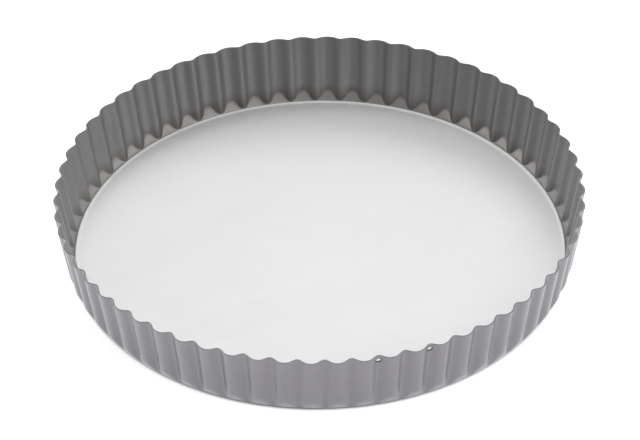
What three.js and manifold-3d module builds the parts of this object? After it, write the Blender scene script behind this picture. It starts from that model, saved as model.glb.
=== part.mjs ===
// A round, loose-bottomed tart pan in two pieces: a pressed ring with a flared, fluted wall that
// turns in to a narrow flat flange, and a flat base disc with an upturned lip, which rests on the
// flange and is pushed up and out when the tart is done.
//
// Millimetres, +Z up. The origin is the centre of the face that the ring stands on. At -Y the wall
// has an inward crest, midway between the two small holes punched through it just under the rim.

import * as THREE from 'three';
import { mergeVertices } from 'three/addons/utils/BufferGeometryUtils.js';
import Module from 'manifold-3d';

const { degToRad } = THREE.MathUtils;

// Ring: radii and heights are those of the middle of its sheet
const RIM_RADIUS = 125;               // halfway between the inward and outward crests
const RIM_HEIGHT = 34.7;
const RING_SHEET = 0.6;
const WALL_FLARE = degToRad(10.3);    // from the vertical
const OPENING_RADIUS = 107.5;         // inner edge of the flange
const FLANGE_RADIUS = 114.8;          // where the flat flange begins to turn up
const CORNER_RADIUS = 4.65;
const CORNER_SLOPE = degToRad(58);    // the corner turns up this far, then runs straight on

// Flutes: their wave is +1 on an outward crest and -1 on an inward one
const FLUTES = 62;
const FLUTE_DEPTH = 1.2;              // radial, to each side of the mean wall
const RIM_WAVE = 0.3;                 // the rim dips by this on outward crests and rises on inward

// Holes, one flute to each side of -Y
const HOLE_RADIUS = 1.15;
const HOLE_DROP = 2.7;                // centre below the rim
const HOLE_FLUTES = [-1, 1];

// Base
const BASE_GAP = 0.25;                // between the flange and the base above it
const BASE_SHEET = 0.6;
const BASE_RADIUS = 117.25;
const LIP_BEND = 3.9;                 // radius of the upturned lip, to the middle of the sheet
const LIP_SLOPE = degToRad(38);       // at the base's edge

// Facets
const STEPS_PER_FLUTE = 6;
const CORNER_TURNS = [0, 38, 58].map(degToRad);   // slopes of the corner, from the flange up
const SLOPE_SHARES = [0.5, 1];                    // shares of the straight run above the corner
const BASE_SEGMENTS = 186;
const LIP_STEPS = 3;
const HOLE_SIDES = 16;
const HOLE_CUT = 6;                               // length of the tool that cuts a hole

const wasm = await Module();
wasm.setup();

// Radius of the wall's outer face (side +1) or inner face (side -1) at a height, without flutes.
function wallFace(z, side) {
  const middle = RIM_RADIUS - (RIM_HEIGHT - z) * Math.tan(WALL_FLARE);
  return middle + side * RING_SHEET / 2 / Math.cos(WALL_FLARE);
}

// One face of the ring in section through an outward crest, from the flange's inner edge up to the
// rim: side +1 is the outer face and -1 the inner.
function faceSection(side) {
  const radius = CORNER_RADIUS + side * RING_SHEET / 2;
  const corner = CORNER_TURNS.map((turn) => ({
    r: FLANGE_RADIUS + radius * Math.sin(turn),
    z: CORNER_RADIUS + RING_SHEET / 2 - radius * Math.cos(turn),
  }));
  const end = corner.at(-1);
  const wallGap = wallFace(end.z, side) + FLUTE_DEPTH - end.r;
  const rise = wallGap / (1 / Math.tan(CORNER_SLOPE) - Math.tan(WALL_FLARE));
  const slope = SLOPE_SHARES.map((share) => ({
    r: end.r + share * rise / Math.tan(CORNER_SLOPE),
    z: end.z + share * rise,
  }));
  const rimHeight = RIM_HEIGHT - side * RING_SHEET / 2 * Math.sin(WALL_FLARE);
  const rim = { r: wallFace(rimHeight, side) + FLUTE_DEPTH, z: rimHeight, rimWave: RIM_WAVE };
  const edge = { r: OPENING_RADIUS, z: corner[0].z };
  return [edge, ...corner, ...slope, rim].map((point) => ({ rimWave: 0, side, ...point }));
}

// Turns a profile of { r, z } points about +Z, starting at -Y.
function lathe(profile, segments) {
  const points = profile.map(({ r, z }) => new THREE.Vector2(r, z));
  const geometry = new THREE.LatheGeometry(points, segments);
  return geometry.rotateX(Math.PI / 2);
}

// Gives the turned ring its flutes. Each point is drawn in to the fluted wall where that is nearer
// the axis, so the flutes run straight down until the plain round corner cuts them off. The
// profile's points repeat once for each segment.
function flute(geometry, profile) {
  const position = geometry.attributes.position;
  for (let i = 0; i < position.count; i++) {
    const { r, z, side, rimWave } = profile[i % profile.length];
    const x = position.getX(i);
    const y = position.getY(i);
    const wave = -Math.cos(FLUTES * Math.atan2(x, -y));
    const stretch = Math.min(r, wallFace(z, side) + wave * FLUTE_DEPTH) / r;
    position.setXYZ(i, x * stretch, y * stretch, z - wave * rimWave);
  }
  return geometry;
}

// The tool that cuts a hole square through the wall, on the inward crest this many flutes from -Y.
function holeCutter(flutes) {
  const height = RIM_HEIGHT - HOLE_DROP;
  const cutter = new THREE.CylinderGeometry(HOLE_RADIUS, HOLE_RADIUS, HOLE_CUT, HOLE_SIDES);
  cutter.rotateX(WALL_FLARE);
  cutter.translate(0, FLUTE_DEPTH - wallFace(height, 0), height);
  return cutter.rotateZ(flutes * 2 * Math.PI / FLUTES);
}

function toSolid(geometry) {
  geometry.deleteAttribute('normal');
  geometry.deleteAttribute('uv');
  const merged = mergeVertices(geometry);
  return new wasm.Manifold(new wasm.Mesh({
    numProp: 3,
    vertProperties: merged.attributes.position.array,
    triVerts: new Uint32Array(merged.index.array),
  }));
}

function toGeometry(solid) {
  const { vertProperties, triVerts } = solid.getMesh();
  const geometry = new THREE.BufferGeometry();
  geometry.setAttribute('position', new THREE.BufferAttribute(vertProperties, 3));
  geometry.setIndex(new THREE.BufferAttribute(triVerts, 1));
  const faceted = geometry.toNonIndexed();
  faceted.computeVertexNormals();
  return faceted;
}

function flutedRing() {
  const outer = faceSection(1);
  const inner = faceSection(-1);
  const profile = [...outer, ...inner.reverse(), outer[0]];
  let ring = toSolid(flute(lathe(profile, FLUTES * STEPS_PER_FLUTE), profile));
  for (const flutes of HOLE_FLUTES) {
    ring = ring.subtract(toSolid(holeCutter(flutes)));
  }
  const coating = new THREE.MeshStandardMaterial({
    color: '#858388', roughness: 0.55, metalness: 0.5,
  });
  const mesh = new THREE.Mesh(toGeometry(ring), coating);
  mesh.name = 'fluted_ring';
  return mesh;
}

// The lip's upper face (side +1) or lower face (side -1) in section, from the flat out to the edge.
function lipSection(side) {
  const radius = LIP_BEND - side * BASE_SHEET / 2;
  const flatRadius = BASE_RADIUS - (LIP_BEND + BASE_SHEET / 2) * Math.sin(LIP_SLOPE);
  return Array.from({ length: LIP_STEPS + 1 }, (_, step) => {
    const turn = LIP_SLOPE * step / LIP_STEPS;
    return {
      r: flatRadius + radius * Math.sin(turn),
      z: LIP_BEND + BASE_SHEET / 2 - radius * Math.cos(turn),
    };
  });
}

function looseBase() {
  const lower = lipSection(-1);
  const upper = lipSection(1);
  const profile = [{ r: 0, z: 0 }, ...lower, ...upper.reverse(), { r: 0, z: BASE_SHEET }];
  const metal = new THREE.MeshStandardMaterial({
    color: '#dcdddf', roughness: 0.4, metalness: 0.9,
  });
  const mesh = new THREE.Mesh(lathe(profile, BASE_SEGMENTS), metal);
  mesh.name = 'loose_base';
  mesh.position.z = RING_SHEET + BASE_GAP;
  return mesh;
}

const tartPan = new THREE.Group();
tartPan.add(flutedRing(), looseBase());

export default tartPan;
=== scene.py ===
"""A loose-bottomed tart pan: its looks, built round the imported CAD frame. Lengths are in metres.

The ring is one pressed sheet: a narrow flat flange, a round corner and a flared, fluted wall with
two holes punched under its rim. The base is a flat disc with an upturned lip.
"""

import math

import bmesh
import bpy
import numpy as np
from mathutils import Matrix, Quaternion, Vector


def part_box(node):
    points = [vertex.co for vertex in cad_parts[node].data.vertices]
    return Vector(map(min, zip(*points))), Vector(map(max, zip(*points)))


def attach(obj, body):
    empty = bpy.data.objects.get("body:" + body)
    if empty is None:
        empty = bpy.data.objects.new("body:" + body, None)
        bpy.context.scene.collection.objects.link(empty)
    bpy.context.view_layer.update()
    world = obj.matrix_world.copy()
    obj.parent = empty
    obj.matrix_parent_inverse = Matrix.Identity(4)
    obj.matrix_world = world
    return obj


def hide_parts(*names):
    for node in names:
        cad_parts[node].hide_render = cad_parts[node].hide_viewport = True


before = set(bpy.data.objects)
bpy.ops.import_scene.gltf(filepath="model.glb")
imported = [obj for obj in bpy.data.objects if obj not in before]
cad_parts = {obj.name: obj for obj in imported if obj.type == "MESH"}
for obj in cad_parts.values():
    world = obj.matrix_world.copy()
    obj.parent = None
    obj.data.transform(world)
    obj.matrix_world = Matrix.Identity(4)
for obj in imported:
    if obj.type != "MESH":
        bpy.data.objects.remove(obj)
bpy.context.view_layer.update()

MM = 0.001

# Ring: radii and heights are those of the middle of its sheet
FLARE = math.radians(10.3)                # of the wall, from the vertical
RING_SHEET = 0.6 * MM
FLUTES = 62
FLUTE_DEPTH = 1.2 * MM                    # radial, to each side of the mean wall
CREST_FLATNESS = 0.15                     # makes outward crests broader than inward ones
RIM_WAVE = 0.3 * MM                       # the rim dips by this on outward crests
_, RING_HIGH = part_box("fluted_ring")
RIM_RADIUS = RING_HIGH.x - FLUTE_DEPTH - RING_SHEET / 2 * math.cos(FLARE)
RIM_HEIGHT = RING_HIGH.z - RIM_WAVE - RING_SHEET / 2 * math.sin(FLARE)
OPENING_RADIUS = 107.5 * MM               # inner edge of the flange
FLANGE_RADIUS = 114.8 * MM                # where the flat flange begins to turn up
CORNER_RADIUS = 4.65 * MM
CORNER_SLOPE = math.radians(58)           # the corner turns up this far, then runs straight on
CREASE = 0.8 * MM                         # softness of the crease between flutes and corner

# Holes, one flute to each side of -Y
HOLE_RADIUS = 1.15 * MM
HOLE_DROP = 2.7 * MM                      # centre below the rim
HOLE_FLUTES = (-1, 1)
HOLE_SIDES = 48
HOLE_CUT = 6 * MM                         # length of the bar that cuts a hole
SLIVER = 0.005 * MM                       # the cuts leave points closer together than this

# Base
BASE_LOW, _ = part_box("loose_base")
BASE_RADIUS = -BASE_LOW.y
BASE_SHEET = 0.6 * MM
LIP_BEND = 3.0 * MM                       # radius of the lip, to the middle of the sheet
LIP_SLOPE = math.radians(38)              # at the base's edge
FLAT_RADIUS = BASE_RADIUS - (LIP_BEND + BASE_SHEET / 2) * math.sin(LIP_SLOPE)

# Cut edges
EDGE_ROUND = 0.12 * MM                    # radius of their rounding
EDGE_MARGIN = 4 * EDGE_ROUND              # the faces' rows of points stop this far from them
SHARP_ANGLE = math.radians(50)            # creases sharper than this aren't shaded smooth

# Steps of the meshes
STEPS_PER_FLUTE = 24
FLANGE_STEPS = 2
ARC_STEPS = 8
CONE_STEPS = 9
WALL_STEPS = 5
EDGE_STEPS = 2
BASE_STEPS = 496
LIP_STEPS = 8
FLAT_SHARES = (0.15, 0.5, 0.8, 0.97)      # radii of the rows of the flat, as shares of its radius

# Coating: noises have their scale in grains per metre, and colours are linear
SPECKLE_NOISE = {"scale": 2600, "detail": 1}
SPECKLE_RANGE = (0.4, 0.8)                # the noise where specks begin, and where they are full
STREAK_NOISE = {"scale": 300, "stretch": (1, 1, 30)}
CLOUD_NOISE = {"scale": 60, "detail": 3}
NOISE_RANGE = (0.3, 0.7)                  # most of a noise lies between these
DARK_STREAK = (0.200, 0.196, 0.202, 1)
LIGHT_STREAK = (0.213, 0.209, 0.215, 1)
SPECKLE = (0.35, 0.345, 0.355, 1)
SPECKLE_SHARE = 0.12
TINT_OUTSIDE = (0.99, 0.975, 1.03, 1)     # a little more violet
TINT_INSIDE = (1.0, 0.985, 0.97, 1)       # a little warmer
TINT_EDGE = 10 * MM                       # softness of the change between them
FOOT_SHADE = (0.09, 0.085, 0.07, 1)             # painted shade inside, where the feet of the flutes meet the corner
FOOT_SHADE_SHARE = 0.75
FOOT_SHADE_TILT = (0.4, 0.3)                    # upward part of the normal: beyond a foot, and on it
FOOT_SHADE_HEIGHT = (10 * MM, 3.5 * MM)         # where the painted shade begins, and where it is full
POCKET_LIGHT = (0.45, 0.44, 0.42, 1)            # painted light on the upward-facing pockets between the flutes' feet
POCKET_LIGHT_SHARE = 0.5
POCKET_TILT = (0.35, 0.5)                 # upward part of the normal: on the wall, in a pocket
POCKET_ROUGHER = 0.2
# painted shade round the edges of the holes
HOLE_EDGE_SHADE = (0.035, 0.035, 0.035, 1)
HOLE_EDGE_SHADE_SHARE = 0.85
HOLE_SHADE_REACH = (1.4 * MM, 2.0 * MM)    # from the hole's middle: painted shade still full, and gone
COATING_METALLIC = 0.5
COATING_ROUGHNESS = (0.29, 0.32)
TOP_COAT = 0.4
TOP_COAT_ROUGHNESS = 0.28
SPECKLE_RELIEF = 0.006 * MM

# Aluminium of the base
GRAIN_NOISE = {"scale": 2200}
ROLLING_NOISE = {"scale": 500, "stretch": (30, 1, 1)}
TONE_NOISE = {"scale": 35, "detail": 3}
TONE_RANGE = (0.35, 0.65)                 # the noise where the metal is darkest, and lightest
DARK_METAL = (0.935, 0.935, 0.937, 1)
LIGHT_METAL = (0.945, 0.945, 0.947, 1)
METAL_ROUGHNESS = (0.63, 0.67)
GRAIN_RELIEF = 0.003 * MM

# Floor
FLOOR_REACH = 20                          # from its middle to each side
FLOOR_WHITE = (0.93, 0.93, 0.93, 1)
FLOOR_ROUGHNESS = 0.9
FLOOR_GLOW = 0.64
SHADE_MARGIN = 2 * MM                     # the painted contact shadow under the ring's foot reaches this far past it
SHADE_FADE = 2 * MM                       # and then fades over this

# Light: angles are in degrees
WHITE = (1, 1, 1, 1)
WORLD_LIGHT = 0.3
SOFTBOXES = (                             # name, azimuth, elevation, width, height, power
    ("back_left", -150, 12, 0.75, 0.45, 2.5),
    ("left_back", -120, 12, 0.75, 0.45, 4.8),
    ("left", -90, 12, 0.75, 0.45, 3.3),
    ("front_right", 30, 40, 0.75, 0.6, 5.1),
    ("right_front", 60, 12, 0.75, 0.45, 3.1),
    ("right", 90, 12, 0.75, 0.45, 4.0),
    ("back_right", 150, 40, 0.75, 0.6, 2.3),
    ("back_high", 180, 68, 0.7, 0.7, 4.6),
    ("front_high", 0, 68, 0.7, 0.7, 1.0),
)
SOFTBOX_DISTANCE = 1.5

# Camera: angles are in degrees
AIM = Vector((-5.88 * MM, -18.49 * MM, RIM_HEIGHT))
AZIMUTH = -17.98
ELEVATION = 38.24
ROLL = -0.85
DISTANCE = 3.153
LENS = 375.25                             # mm, on a 36 mm sensor
CLIP = (0.1, 100)                         # nearest and farthest that it sees


# Meshes -----------------------------------------------------------------------------------------

def cut_edge(sheet):
    """A sheet's cut edge in section, from its outer face to its inner one.

    Each point is (side, setback): side runs from +1 on the outer face to -1 on the inner one, and
    setback is how far the rounding has drawn the edge back.
    """
    turns = np.linspace(0, math.pi / 2, EDGE_STEPS + 1)
    outer = [
        (1 - (1 - math.cos(turn)) * 2 * EDGE_ROUND / sheet, (1 - math.sin(turn)) * EDGE_ROUND)
        for turn in turns
    ]
    inner = [(-side, setback) for side, setback in reversed(outer)]
    return outer + inner


def wall_radius(height, side):
    """Radius of the wall without flutes: side is +1 on its outer face and -1 on its inner one."""
    middle = RIM_RADIUS - (RIM_HEIGHT - height) * math.tan(FLARE)
    return middle + side * RING_SHEET / 2 / math.cos(FLARE)


def rim_height(side):
    """Height of the rim's edge, which is cut square to the flared wall."""
    return RIM_HEIGHT - side * RING_SHEET / 2 * math.sin(FLARE)


def ring_face(side):
    """One face of the ring in section, from the flange to below the rim: +1 is outside, -1 inside.

    Each station is (radius before fluting, height, side, share of the rim's wave). On the wall the
    radius is endless, so that only the flutes shape it.
    """
    level = RING_SHEET / 2 * (1 - side)
    flange = [
        (radius, level, side, 0)
        for radius in np.linspace(OPENING_RADIUS + EDGE_MARGIN, FLANGE_RADIUS, FLANGE_STEPS)
    ]
    bend = CORNER_RADIUS + side * RING_SHEET / 2
    centre = CORNER_RADIUS + RING_SHEET / 2
    arc = [
        (FLANGE_RADIUS + bend * math.sin(turn), centre - bend * math.cos(turn), side, 0)
        for turn in np.linspace(0, CORNER_SLOPE, ARC_STEPS + 1)[1:]
    ]
    radius, height = arc[-1][:2]
    gap = wall_radius(height, side) + FLUTE_DEPTH - radius
    cone_top = height + gap / (1 / math.tan(CORNER_SLOPE) - math.tan(FLARE)) + 2 * CREASE
    cone = [
        (radius + (z - height) / math.tan(CORNER_SLOPE), z, side, 0)
        for z in np.linspace(height, cone_top, CONE_STEPS + 1)[1:]
    ]
    wall_top = rim_height(side) - EDGE_MARGIN
    wall = [
        (math.inf, cone_top + share * (wall_top - cone_top), side, share)
        for share in np.linspace(0, 1, WALL_STEPS + 1)[1:]
    ]
    return flange + arc + cone + wall


def ring_section():
    """The whole section of the ring, once round its sheet."""
    rim = [
        (math.inf, rim_height(side) - setback, side, 1)
        for side, setback in cut_edge(RING_SHEET)
    ]
    opening = [
        (OPENING_RADIUS + setback, RING_SHEET / 2 * (1 - side), side, 0)
        for side, setback in cut_edge(RING_SHEET)
    ]
    return ring_face(1) + rim + ring_face(-1)[::-1] + opening[::-1]


def smooth_min(a, b, softness):
    """The smaller of a and b, with the step between them rounded off."""
    overlap = np.maximum(softness - np.abs(a - b), 0)
    return np.minimum(a, b) - overlap ** 2 / (4 * softness)


def ring_points():
    """The ring's points: a row for each station of its section, a column for each step round it."""
    radius, height, side, share = np.array(ring_section()).T[:, :, None]
    columns = FLUTES * STEPS_PER_FLUTE
    turn = np.arange(columns) * 2 * math.pi / columns
    phase = FLUTES * turn
    wave = -np.cos(phase) + CREST_FLATNESS * (1 - np.cos(2 * phase))
    steepness = np.sin(phase) + 2 * CREST_FLATNESS * np.sin(2 * phase)
    slope = FLUTE_DEPTH * FLUTES / RIM_RADIUS * steepness
    z = height - share * wave * RIM_WAVE
    thicker = RING_SHEET / 2 / math.cos(FLARE) * (np.hypot(1, slope) - 1)
    fluted = wall_radius(z, side) + side * thicker + wave * FLUTE_DEPTH
    r = smooth_min(radius, fluted, CREASE)
    return np.stack([r * np.sin(turn), -r * np.cos(turn), z], axis=-1)


def tube_faces(bands, columns, rows):
    """Quads in the bands between rows of points that close on themselves.

    With as many bands as rows, the last row joins the first.
    """
    row, column = np.indices((bands, columns))
    next_row = (row + 1) % rows
    next_column = (column + 1) % columns
    corners = [(row, column), (row, next_column), (next_row, next_column), (next_row, column)]
    return np.stack([r * columns + c for r, c in corners], axis=-1).reshape(-1, 4)


def link(thing):
    bpy.context.scene.collection.objects.link(thing)
    return thing


def new_object(name, points, faces):
    mesh = bpy.data.meshes.new(name)
    mesh.from_pydata(points.reshape(-1, 3).tolist(), [], [list(face) for face in faces])
    mesh.validate()
    return link(bpy.data.objects.new(name, mesh))


def hole_outward(flutes):
    """Level direction, out from the axis, of the inward crest this many flutes from -Y."""
    turn = flutes * 2 * math.pi / FLUTES
    return Vector((math.sin(turn), -math.cos(turn), 0))


def hole_place(flutes):
    """Middle of the hole on the inward crest this many flutes from -Y."""
    height = RIM_HEIGHT - HOLE_DROP
    return hole_outward(flutes) * (wall_radius(height, 0) - FLUTE_DEPTH) + Vector((0, 0, height))


def hole_cutter(flutes):
    """A round bar that goes square through the wall at a hole."""
    axis = hole_outward(flutes) * math.cos(FLARE) - Vector((0, 0, math.sin(FLARE)))
    aligned = axis.to_track_quat("Z", "Y").to_matrix().to_4x4()
    bar = bmesh.new()
    bmesh.ops.create_cone(
        bar, cap_ends=True, segments=HOLE_SIDES, radius1=HOLE_RADIUS, radius2=HOLE_RADIUS,
        depth=HOLE_CUT, matrix=Matrix.Translation(hole_place(flutes)) @ aligned,
    )
    mesh = bpy.data.meshes.new("hole_cutter")
    bar.to_mesh(mesh)
    bar.free()
    return link(bpy.data.objects.new("hole_cutter", mesh))


def punch_holes(ring):
    cutters = [hole_cutter(flutes) for flutes in HOLE_FLUTES]
    for cutter in cutters:
        cut = ring.modifiers.new("hole", "BOOLEAN")
        cut.operation = "DIFFERENCE"
        cut.solver = "EXACT"
        cut.object = cutter
    bpy.context.view_layer.update()
    evaluated = ring.evaluated_get(bpy.context.evaluated_depsgraph_get())
    mesh = bpy.data.meshes.new_from_object(evaluated)
    ring.modifiers.clear()
    ring.data = mesh
    merge_slivers(mesh)
    for cutter in cutters:
        bpy.data.objects.remove(cutter)


def merge_slivers(mesh):
    """Merges the points that the cuts leave almost on top of each other round a hole."""
    merged = bmesh.new()
    merged.from_mesh(mesh)
    bmesh.ops.remove_doubles(merged, verts=merged.verts, dist=SLIVER)
    merged.to_mesh(mesh)
    merged.free()


def smooth_shade(thing):
    thing.data.shade_smooth()
    thing.data.set_sharp_from_angle(angle=SHARP_ANGLE)


def fluted_ring():
    points = ring_points()
    rows, columns = points.shape[:2]
    ring = new_object("pressed_ring", points, tube_faces(rows, columns, rows))
    punch_holes(ring)
    smooth_shade(ring)
    ring.data.materials.append(coating())
    return ring


def lip_point(turn, side):
    """A point of the base's lip in section: side is +1 on its underside and -1 on top."""
    radius = LIP_BEND + side * BASE_SHEET / 2
    height = BASE_LOW.z + LIP_BEND + BASE_SHEET / 2 - radius * math.cos(turn)
    return FLAT_RADIUS + radius * math.sin(turn), height


def base_face(side):
    """The base's underside (+1) or top (-1) in section, from near its centre to near its edge."""
    level = lip_point(0, side)[1]
    flat = [(FLAT_RADIUS * share, level) for share in FLAT_SHARES]
    turns = np.linspace(0, LIP_SLOPE - EDGE_MARGIN / LIP_BEND, LIP_STEPS + 1)
    return flat + [lip_point(turn, side) for turn in turns]


def loose_base():
    edge = [
        lip_point(LIP_SLOPE - setback / LIP_BEND, side) for side, setback in cut_edge(BASE_SHEET)
    ]
    radius, height = np.array(base_face(1) + edge + base_face(-1)[::-1]).T[:, :, None]
    turn = np.arange(BASE_STEPS) * 2 * math.pi / BASE_STEPS
    x = radius * np.sin(turn)
    y = -radius * np.cos(turn)
    rows = np.stack(np.broadcast_arrays(x, y, height), axis=-1)
    centres = [(0, 0, height[0, 0]), (0, 0, height[-1, 0])]
    points = np.concatenate([rows.reshape(-1, 3), centres])
    faces = tube_faces(len(rows) - 1, BASE_STEPS, len(rows)).tolist()
    below, above = len(points) - 2, len(points) - 1
    last_row = (len(rows) - 1) * BASE_STEPS
    for step in range(BASE_STEPS):
        following = (step + 1) % BASE_STEPS
        faces.append([below, following, step])
        faces.append([above, last_row + step, last_row + following])
    base = new_object("base_disc", points, faces)
    smooth_shade(base)
    base.data.materials.append(aluminium())
    return base


# Materials --------------------------------------------------------------------------------------

class Nodes:
    """Adds nodes to a material and links them as it goes.

    A value is a number, a colour or vector, or another node's socket.
    """

    def __init__(self, name):
        self.material = bpy.data.materials.new(name)
        self.material.use_nodes = True
        self.tree = self.material.node_tree
        coordinates = self.add("ShaderNodeTexCoord").outputs
        self.place = coordinates["Object"]
        self.normal = coordinates["Normal"]

    def add(self, kind, settings=(), **inputs):
        node = self.tree.nodes.new(kind)
        for name, value in dict(settings).items():
            setattr(node, name, value)
        self.fill(node, inputs)
        return node

    def fill(self, node, inputs):
        """Sets or links a node's inputs, each by its number or by its name with _ for a space."""
        for name, value in inputs.items():
            socket = node.inputs[name.replace("_", " ") if isinstance(name, str) else name]
            if isinstance(value, bpy.types.NodeSocket):
                self.tree.links.new(value, socket)
            else:
                socket.default_value = value

    def surface(self, **inputs):
        """Fills in the shader, and gives back the finished material."""
        self.fill(self.tree.nodes["Principled BSDF"], inputs)
        return self.material

    def noise(self, scale, stretch=(1, 1, 1), detail=2):
        """Noise whose grains are about 1 / scale metres across, stretched along each axis."""
        mapping = self.add("ShaderNodeMapping", Vector=self.place, Scale=[1 / s for s in stretch])
        grains = self.add(
            "ShaderNodeTexNoise", Vector=mapping.outputs["Vector"], Scale=scale, Detail=detail
        )
        return grains.outputs["Fac"]

    def remap(self, value, low, high, start=0.0, end=1.0):
        """value from low to high becomes start to end."""
        node = self.add(
            "ShaderNodeMapRange", Value=value, From_Min=low, From_Max=high, To_Min=start, To_Max=end
        )
        return node.outputs["Result"]

    def z_of(self, vector):
        return self.add("ShaderNodeSeparateXYZ", Vector=vector).outputs["Z"]

    def calculate(self, operation, a, b):
        node = self.add("ShaderNodeMath", {"operation": operation})
        self.fill(node, {0: a, 1: b})
        return node.outputs["Value"]

    def plus(self, a, b):
        return self.calculate("ADD", a, b)

    def times(self, a, b):
        return self.calculate("MULTIPLY", a, b)

    def vector_math(self, operation, *vectors):
        """The outputs: "Vector", or "Value" where the answer is a number."""
        node = self.add("ShaderNodeVectorMath", {"operation": operation})
        self.fill(node, dict(enumerate(vectors)))
        return node.outputs

    def near(self, point, inner, outer):
        """1 within inner of the point, and 0 beyond outer."""
        away = self.vector_math("DISTANCE", self.place, point)["Value"]
        return self.remap(away, outer, inner)

    def facing_axis(self, softness):
        """1 where the surface faces the Z axis, and 0 where it faces away from it."""
        outward = self.vector_math("MULTIPLY", self.place, (1, 1, 0))["Vector"]
        away = self.vector_math("DOT_PRODUCT", outward, self.normal)["Value"]
        return self.remap(away, softness, -softness)

    def mix(self, share, a, b, blend="MIX"):
        """Colour a with this share of b blended in. The colours are inputs 6 and 7 and output 2."""
        node = self.add("ShaderNodeMix", {"data_type": "RGBA", "blend_type": blend})
        self.fill(node, {0: share, 6: a, 7: b})
        return node.outputs[2]

    def bump(self, height, depth):
        node = self.add("ShaderNodeBump", Height=height, Strength=1.0, Distance=depth)
        return node.outputs["Normal"]


def coating():
    """Satin grey non-stick coating: finely speckled, a little lighter and darker along the flutes.

    Inside it is a little warmer and outside a little more violet. Painted shade darkens it
    where the flutes end at the base, and painted light brightens the small upward-facing pockets
    between them, which are also rougher. The edges of the holes carry painted shade.
    """
    nodes = Nodes("ring_coating")
    speckle = nodes.noise(**SPECKLE_NOISE)
    streaks = nodes.noise(**STREAK_NOISE)
    clouds = nodes.noise(**CLOUD_NOISE)
    inside = nodes.facing_axis(TINT_EDGE)
    tilt = nodes.z_of(nodes.normal)
    # pocket: upward-facing pockets inside, lightened as painted light and also made rougher
    pocket = nodes.times(inside, nodes.remap(tilt, *POCKET_TILT))
    # foot: painted shade low on the inner wall where the flutes meet the corner, off the pockets
    foot = nodes.times(inside, nodes.remap(tilt, *FOOT_SHADE_TILT))
    foot = nodes.times(foot, nodes.remap(nodes.z_of(nodes.place), *FOOT_SHADE_HEIGHT))

    tone = nodes.mix(nodes.remap(streaks, *NOISE_RANGE), DARK_STREAK, LIGHT_STREAK)
    tone = nodes.mix(nodes.remap(speckle, *SPECKLE_RANGE, 0, SPECKLE_SHARE), tone, SPECKLE)
    tone = nodes.mix(1.0, tone, nodes.mix(inside, TINT_OUTSIDE, TINT_INSIDE), "MULTIPLY")
    # painted shade at the flutes' feet
    tone = nodes.mix(nodes.times(foot, FOOT_SHADE_SHARE), tone, FOOT_SHADE)
    # painted light on the upward-facing pockets
    tone = nodes.mix(nodes.times(pocket, POCKET_LIGHT_SHARE), tone, POCKET_LIGHT)
    # painted shade round the edges of the holes
    for flutes in HOLE_FLUTES:
        edge = nodes.near(hole_place(flutes), *HOLE_SHADE_REACH)
        tone = nodes.mix(nodes.times(edge, HOLE_EDGE_SHADE_SHARE), tone, HOLE_EDGE_SHADE)

    roughness = nodes.remap(clouds, *NOISE_RANGE, *COATING_ROUGHNESS)
    return nodes.surface(
        Base_Color=tone,
        Metallic=COATING_METALLIC,
        Roughness=nodes.plus(roughness, nodes.times(pocket, POCKET_ROUGHER)),
        Coat_Weight=TOP_COAT,
        Coat_Roughness=TOP_COAT_ROUGHNESS,
        Normal=nodes.bump(speckle, SPECKLE_RELIEF),
    )


def aluminium():
    """Satin aluminium sheet with a fine grain and faint rolling streaks."""
    nodes = Nodes("base_metal")
    grain = nodes.noise(**GRAIN_NOISE)
    rolling = nodes.noise(**ROLLING_NOISE)
    tone = nodes.remap(nodes.noise(**TONE_NOISE), *TONE_RANGE)
    return nodes.surface(
        Base_Color=nodes.mix(tone, DARK_METAL, LIGHT_METAL),
        Metallic=1.0,
        Roughness=nodes.remap(rolling, *NOISE_RANGE, *METAL_ROUGHNESS),
        Normal=nodes.bump(grain, GRAIN_RELIEF),
    )


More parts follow.
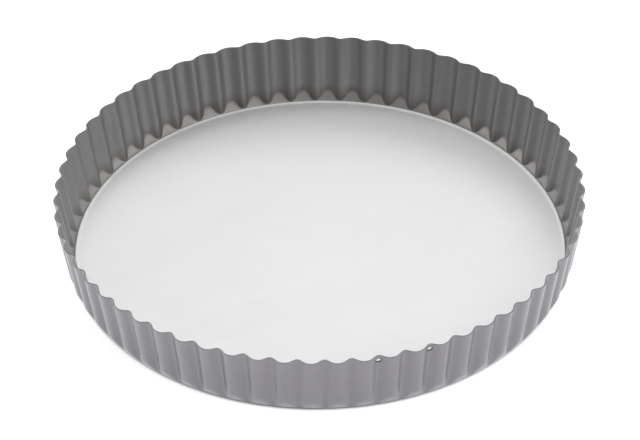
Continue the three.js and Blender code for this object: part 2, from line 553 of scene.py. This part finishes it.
def lit_from_below():
    """White that glows like a light table, except right under the ring's foot, left dark as a
    painted contact shadow.
    """
    nodes = Nodes("floor_white")
    apart = nodes.vector_math("LENGTH", nodes.place)["Value"]
    # no glow over an annulus under the ring's foot: a painted contact shadow
    shade_end = FLANGE_RADIUS + SHADE_MARGIN
    round_pan = nodes.remap(apart, shade_end, shade_end + SHADE_FADE, 0, FLOOR_GLOW)
    in_opening = nodes.remap(apart, OPENING_RADIUS, OPENING_RADIUS - SHADE_FADE, 0, FLOOR_GLOW)
    return nodes.surface(
        Base_Color=FLOOR_WHITE,
        Roughness=FLOOR_ROUGHNESS,
        Emission_Color=WHITE,
        Emission_Strength=nodes.plus(round_pan, in_opening),
    )


# Stage, light and camera ------------------------------------------------------------------------

def plain_floor():
    signs = np.array([(-1, -1, 0), (1, -1, 0), (1, 1, 0), (-1, 1, 0)])
    floor = new_object("floor", signs * FLOOR_REACH, [[0, 1, 2, 3]])
    floor.data.materials.append(lit_from_below())


def direction(azimuth, elevation):
    """Unit vector away from the pan. Azimuth 0 is at -Y and 90 at +X."""
    a = math.radians(azimuth)
    e = math.radians(elevation)
    return Vector((math.sin(a) * math.cos(e), -math.cos(a) * math.cos(e), math.sin(e)))


def softbox(name, azimuth, elevation, width, height, power):
    """A rectangular softbox that faces the pan and can't be seen itself."""
    lamp = bpy.data.lights.new(name, "AREA")
    lamp.shape = "RECTANGLE"
    lamp.size = width
    lamp.size_y = height
    lamp.energy = power
    light = link(bpy.data.objects.new(name, lamp))
    away = direction(azimuth, elevation)
    light.location = away * SOFTBOX_DISTANCE
    light.rotation_euler = away.to_track_quat("Z", "Y").to_euler()
    light.visible_camera = False


def studio():
    world = bpy.data.worlds.new("studio")
    world.use_nodes = True
    background = world.node_tree.nodes["Background"]
    background.inputs["Color"].default_value = WHITE
    background.inputs["Strength"].default_value = WORLD_LIGHT
    bpy.context.scene.world = world
    bpy.context.scene.view_settings.view_transform = "Standard"
    for settings in SOFTBOXES:
        softbox(*settings)


def camera():
    lens = bpy.data.cameras.new("camera")
    lens.lens = LENS
    lens.clip_start, lens.clip_end = CLIP
    view = link(bpy.data.objects.new("camera", lens))
    back = direction(AZIMUTH, ELEVATION)
    view.location = AIM + back * DISTANCE
    view.rotation_mode = "QUATERNION"
    roll = Quaternion((0, 0, 1), math.radians(ROLL))
    view.rotation_quaternion = back.to_track_quat("Z", "Y") @ roll
    bpy.context.scene.camera = view


camera()
plain_floor()
studio()

ring = fluted_ring()
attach(ring, "ring")
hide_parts("fluted_ring")

base = loose_base()
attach(base, "base")
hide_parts("loose_base")
